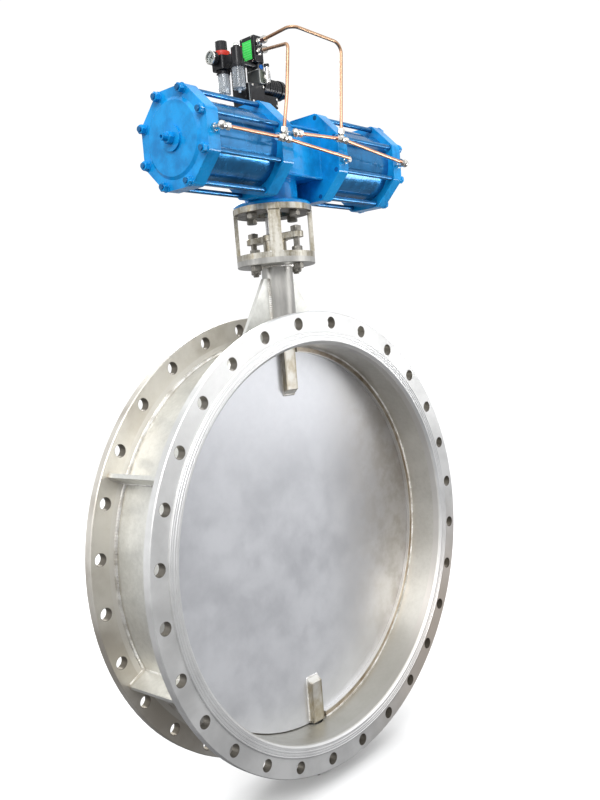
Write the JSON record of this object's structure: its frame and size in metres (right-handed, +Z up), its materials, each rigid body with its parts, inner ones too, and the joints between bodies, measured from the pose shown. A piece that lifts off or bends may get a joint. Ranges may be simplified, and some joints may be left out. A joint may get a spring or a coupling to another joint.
{
  "type": "pneumatic actuated butterfly valve",
  "caption": "Large flanged stainless butterfly damper valve turned by a blue double-piston air actuator, with copper air lines, solenoid valve, filter-regulator and lubricator.",
  "frame": {"origin": "centre of the inlet sealing face", "axes": "+Y along the flow into the valve, +Z up the stem, +X along the actuator cylinders"},
  "size_m": [1.1748, 0.3159, 1.905],
  "materials": {
    "stainless_body": "satin, acid-cleaned",
    "stainless_disc": "fine satin",
    "stainless_bracket": "satin",
    "stem_steel": "turned",
    "blue_enamel": "gloss enamel",
    "blue_tube": "gloss enamel",
    "copper": "drawn tube, slightly dulled",
    "bright_plating": "nickel-plated",
    "zinc_steel": "dull zinc",
    "bearing_bronze": "machined",
    "packing_graphite": "braided",
    "seal_rubber": "matt",
    "black_casting": "fine grain",
    "black_gloss": "moulded",
    "dark_grey_block": "anodised",
    "clear_bowl": "clear",
    "button_blue": "moulded",
    "needle_black": "matt",
    "rolled_steel": "machined"
  },
  "bodies": {
    "body": {"inlet_flange": "stainless_body", "outlet_flange": "stainless_body", "body_shell": "stainless_body", "body_ribs": "stainless_body", "neck_tube": "stainless_body", "neck_gussets": "stainless_body", "neck_flange": "stainless_bracket", "half_seats": "stainless_body", "bearing_pot": "stainless_body", "pot_cover": "stainless_body", "pot_screws": "zinc_steel", "stem_bearings": "bearing_bronze", "packing_rings": "packing_graphite", "gland_follower": "stainless_bracket", "gland_studs": "zinc_steel", "gland_nuts": "zinc_steel", "actuator_bracket": "stainless_bracket", "neck_bolts": "zinc_steel", "bracket_bolts": "zinc_steel", "actuator_base": "blue_enamel", "gear_housing": "blue_enamel", "sleeve_bushes": "bearing_bronze", "inner_plates": "blue_enamel", "rod_guides": "bearing_bronze", "cylinder_tubes": "blue_tube", "end_cap_left": "blue_enamel", "end_cap_right": "blue_enamel", "tie_rods": "blue_tube", "tie_nuts": "blue_enamel", "stop_screws": "zinc_steel", "stop_locknuts": "blue_enamel", "switch_bracket": "black_casting", "switch_box": "black_casting", "switch_drum": "black_casting", "solenoid_housing": "black_gloss", "valve_block": "dark_grey_block", "silencer": "bright_plating", "filter_body": "black_gloss", "lubricator_body": "black_gloss", "clear_bowls": "clear_bowl", "pressure_gauge": "black_gloss", "frl_bracket": "black_casting", "air_line_a": "copper", "air_line_b": "copper", "pipe_fittings": "bright_plating"},
    "disc": {"disc_plate": "stainless_disc", "disc_hubs": "stainless_disc", "valve_stem": "stem_steel", "stub_shaft": "stem_steel", "drive_key": "rolled_steel", "drive_pinion": "rolled_steel", "cam_shaft": "stem_steel"},
    "rack": {"rack_rod": "rolled_steel", "pistons": "rolled_steel", "piston_seals": "seal_rubber", "piston_nuts": "zinc_steel"},
    "regulator": {"regulator_knob": "black_casting"},
    "needle": {"gauge_needle": "needle_black"},
    "override": {"override_button": "button_blue"},
    "spool": {"valve_spool": "bright_plating"}
  },
  "joints": [
    {"name": "disc_turn", "type": "hinge", "parent": "body", "child": "disc", "pos_m": [0, 0.119, 0], "axis": [0, 0, 1], "range_deg": [0, 90]},
    {"name": "rack_slide", "type": "slide", "parent": "body", "child": "rack", "axis": [1, 0, 0], "range_m": [0, 0.06285]},
    {"name": "regulator_turn", "type": "hinge", "parent": "body", "child": "regulator", "pos_m": [-0.115, 0.137, 1.24], "axis": [0, 0, 1], "range_deg": [0, 1080]},
    {"name": "gauge_sweep", "type": "hinge", "parent": "body", "child": "needle", "pos_m": [-0.152, 0.137, 1.206], "axis": [-1, 0, 0], "range_deg": [-270, 0]},
    {"name": "override_press", "type": "slide", "parent": "body", "child": "override", "axis": [0, 1, 0], "range_m": [0, 0.002], "stiffness_N_per_m": 400},
    {"name": "spool_shift", "type": "slide", "parent": "body", "child": "spool", "axis": [0, 1, 0], "range_m": [0, 0.005]}
  ],
  "couplings": [
    {"joint": "rack_slide", "follows": "disc_turn", "m_per_rad": 0.04}
  ]
}
